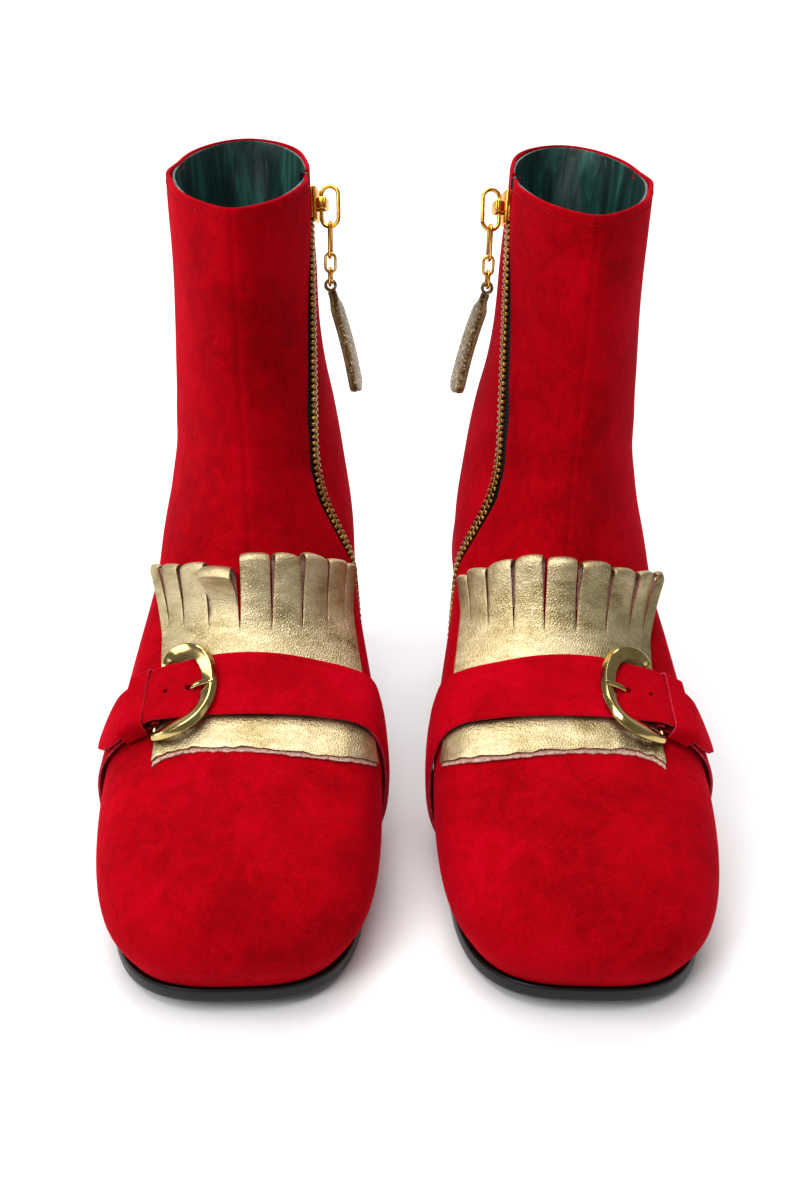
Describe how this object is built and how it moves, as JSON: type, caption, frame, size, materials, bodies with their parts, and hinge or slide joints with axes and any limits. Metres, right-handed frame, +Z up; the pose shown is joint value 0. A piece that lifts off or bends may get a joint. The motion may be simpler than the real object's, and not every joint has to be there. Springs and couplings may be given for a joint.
{
  "type": "pair of ankle boots",
  "caption": "Pair of block-heeled suede ankle boots with an inside zip, a chained leather zip pull, a fringed metallic kiltie and a buckled strap over the instep.",
  "frame": {"origin": "centre of the pair's footprint on the ground", "axes": "+Z up, toes towards -Y, the right boot at -X and the left boot at +X"},
  "size_m": [0.2154, 0.2466, 0.2265],
  "materials": {
    "red_suede": "brushed suede nap",
    "strap_suede": "brushed suede with stitched edges",
    "gold_leather": "metallic foil leather, fine grain",
    "glitter_leather": "glitter-coated leather",
    "lining_leather": "dark green smooth lining leather",
    "sole_rubber": "black, satin edge",
    "heel_cover": "black covered heel",
    "top_lift_rubber": "black, matte",
    "insole_fibreboard": "cellulose fibreboard",
    "stiffener_board": "thermoplastic stiffener",
    "shank_steel": "plain steel",
    "zip_tape": "woven black tape",
    "zip_brass": "bright yellow gold plating",
    "buckle_gold": "polished pale gold plating"
  },
  "bodies": {
    "right_boot": {"right_outsole": "sole_rubber", "right_heel_block": "heel_cover", "right_top_lift": "top_lift_rubber", "right_shank": "shank_steel", "right_insole_board": "insole_fibreboard", "right_sock_lining": "lining_leather", "right_vamp": "red_suede", "right_quarter_lateral": "red_suede", "right_quarter_medial": "red_suede", "right_toe_puff": "stiffener_board", "right_heel_counter": "stiffener_board", "right_vamp_lining": "lining_leather", "right_quarter_lining": "lining_leather", "right_zip_tape_front": "zip_tape", "right_zip_tape_back": "zip_tape", "right_zip_teeth_front": "zip_brass", "right_zip_teeth_back": "zip_brass", "right_kiltie": "gold_leather", "right_strap": "strap_suede", "right_chape": "strap_suede", "right_strap_keeper": "strap_suede"},
    "right_zip_slider": {"right_zip_slider": "zip_brass"},
    "right_pull_ring": {"right_pull_ring": "zip_brass"},
    "right_long_link": {"right_long_link": "zip_brass"},
    "right_short_link": {"right_short_link": "zip_brass"},
    "right_tab_ring": {"right_tab_ring": "zip_brass"},
    "right_pull_tab": {"right_pull_tab": "glitter_leather"},
    "right_buckle_frame": {"right_buckle_frame": "buckle_gold"},
    "right_buckle_prong": {"right_buckle_prong": "buckle_gold"},
    "left_boot": {"left_outsole": "sole_rubber", "left_heel_block": "heel_cover", "left_top_lift": "top_lift_rubber", "left_shank": "shank_steel", "left_insole_board": "insole_fibreboard", "left_sock_lining": "lining_leather", "left_vamp": "red_suede", "left_quarter_lateral": "red_suede", "left_quarter_medial": "red_suede", "left_toe_puff": "stiffener_board", "left_heel_counter": "stiffener_board", "left_vamp_lining": "lining_leather", "left_quarter_lining": "lining_leather", "left_zip_tape_front": "zip_tape", "left_zip_tape_back": "zip_tape", "left_zip_teeth_front": "zip_brass", "left_zip_teeth_back": "zip_brass", "left_kiltie": "gold_leather", "left_strap": "strap_suede", "left_chape": "strap_suede", "left_strap_keeper": "strap_suede"},
    "left_zip_slider": {"left_zip_slider": "zip_brass"},
    "left_pull_ring": {"left_pull_ring": "zip_brass"},
    "left_long_link": {"left_long_link": "zip_brass"},
    "left_short_link": {"left_short_link": "zip_brass"},
    "left_tab_ring": {"left_tab_ring": "zip_brass"},
    "left_pull_tab": {"left_pull_tab": "glitter_leather"},
    "left_buckle_frame": {"left_buckle_frame": "buckle_gold"},
    "left_buckle_prong": {"left_buckle_prong": "buckle_gold"}
  },
  "joints": [
    {"name": "right_zip_travel", "type": "slide", "parent": "right_boot", "child": "right_zip_slider", "axis": [0.0217, -0.3812, -0.9242], "range_m": [0, 0.05]},
    {"name": "right_ring_swing", "type": "hinge", "parent": "right_zip_slider", "child": "right_pull_ring", "pos_m": [-0.03263, 0.06201, 0.21006], "axis": [-0.0217, 0.3812, 0.9242], "range_deg": [-30, 5]},
    {"name": "right_long_link_swing", "type": "hinge", "parent": "right_pull_ring", "child": "right_long_link", "pos_m": [-0.02933, 0.05828, 0.20281], "axis": [0.9816, -0.191, 0], "range_deg": [-30, 30]},
    {"name": "right_short_link_swing", "type": "hinge", "parent": "right_long_link", "child": "right_short_link", "pos_m": [-0.02933, 0.05828, 0.19176], "axis": [-0.191, -0.9816, 0], "range_deg": [0, 55]},
    {"name": "right_tab_ring_swing", "type": "hinge", "parent": "right_short_link", "child": "right_tab_ring", "pos_m": [-0.02933, 0.05828, 0.18651], "axis": [0.9816, -0.191, 0], "range_deg": [-15, 15]},
    {"name": "right_tab_swing", "type": "hinge", "parent": "right_tab_ring", "child": "right_pull_tab", "pos_m": [-0.02933, 0.05828, 0.18176], "axis": [-0.191, -0.9816, 0], "range_deg": [0, 50]},
    {"name": "right_buckle_rock", "type": "hinge", "parent": "right_boot", "child": "right_buckle_frame", "pos_m": [-0.08832, -0.04654, 0.06365], "axis": [0.0128, -0.9357, -0.3526], "range_deg": [0, 4]},
    {"name": "right_prong_lift", "type": "hinge", "parent": "right_buckle_frame", "child": "right_buckle_prong", "pos_m": [-0.08832, -0.04654, 0.06365], "axis": [0.0128, -0.9357, -0.3526], "range_deg": [0, 12]},
    {"name": "left_zip_travel", "type": "slide", "parent": "left_boot", "child": "left_zip_slider", "axis": [-0.0217, -0.3812, -0.9242], "range_m": [0, 0.05]},
    {"name": "left_ring_swing", "type": "hinge", "parent": "left_zip_slider", "child": "left_pull_ring", "pos_m": [0.03263, 0.06201, 0.21006], "axis": [-0.0217, -0.3812, -0.9242], "range_deg": [-30, 5]},
    {"name": "left_long_link_swing", "type": "hinge", "parent": "left_pull_ring", "child": "left_long_link", "pos_m": [0.02933, 0.05828, 0.20281], "axis": [0.9816, 0.191, 0], "range_deg": [-30, 30]},
    {"name": "left_short_link_swing", "type": "hinge", "parent": "left_long_link", "child": "left_short_link", "pos_m": [0.02933, 0.05828, 0.19176], "axis": [-0.191, 0.9816, 0], "range_deg": [0, 55]},
    {"name": "left_tab_ring_swing", "type": "hinge", "parent": "left_short_link", "child": "left_tab_ring", "pos_m": [0.02933, 0.05828, 0.18651], "axis": [0.9816, 0.191, 0], "range_deg": [-15, 15]},
    {"name": "left_tab_swing", "type": "hinge", "parent": "left_tab_ring", "child": "left_pull_tab", "pos_m": [0.02933, 0.05828, 0.18176], "axis": [-0.191, 0.9816, 0], "range_deg": [0, 50]},
    {"name": "left_buckle_rock", "type": "hinge", "parent": "left_boot", "child": "left_buckle_frame", "pos_m": [0.08832, -0.04654, 0.06365], "axis": [0.0128, 0.9357, 0.3526], "range_deg": [0, 4]},
    {"name": "left_prong_lift", "type": "hinge", "parent": "left_buckle_frame", "child": "left_buckle_prong", "pos_m": [0.08832, -0.04654, 0.06365], "axis": [0.0128, 0.9357, 0.3526], "range_deg": [0, 12]},
    {"name": "left_boot_lift", "type": "slide", "parent": "right_boot", "child": "left_boot", "axis": [0, 0, 1], "range_m": [0, 0.15]}
  ]
}
